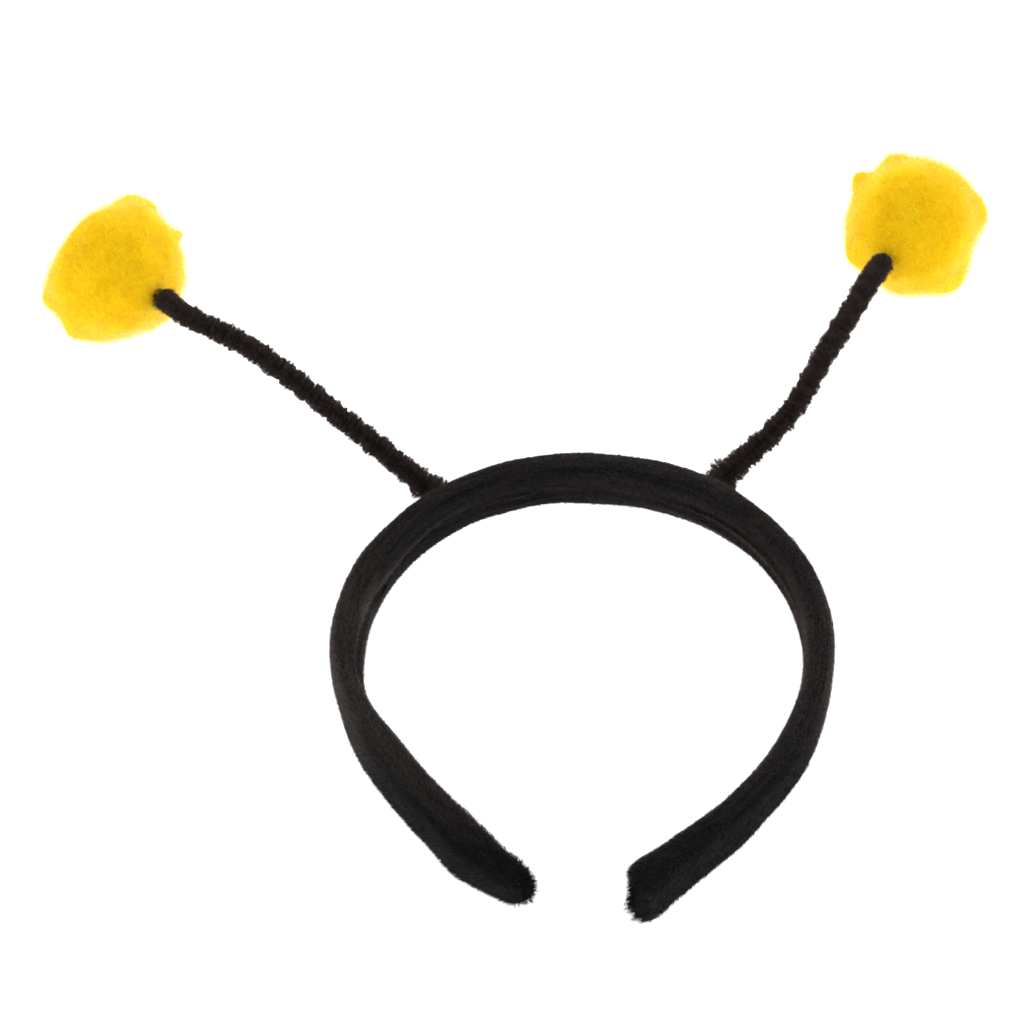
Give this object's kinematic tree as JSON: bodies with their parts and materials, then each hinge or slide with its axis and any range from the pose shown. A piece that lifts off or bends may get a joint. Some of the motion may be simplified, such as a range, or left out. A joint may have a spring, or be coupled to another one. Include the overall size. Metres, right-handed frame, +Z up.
{
  "type": "antenna headband",
  "caption": "Plush-covered C-shaped spring headband with bendy chenille antennae on its crown, each ending in a fuzzy pompom; worn over the head as a costume headpiece.",
  "frame": {"origin": "middle of the footprint's box, on the surface that the headband lies on", "axes": "+Z up from the surface, +Y from the hoop's open side towards its crown and antennae, +X to the right as seen from the open side"},
  "size_m": [0.2468, 0.2168, 0.0369],
  "materials": {
    "black_plush": "short black plush pile combed along the band, with a soft sheen",
    "black_chenille": "brown-black chenille pile wound in a spiral round a wire",
    "yellow_fleece": "bright yellow fuzzy fleece, matt and lumpy"
  },
  "bodies": {
    "root": {"plush_band": "black_plush", "antenna_stem_left": "black_chenille", "antenna_stem_right": "black_chenille", "pompom_left": "yellow_fleece", "pompom_right": "yellow_fleece"}
  },
  "joints": []
}
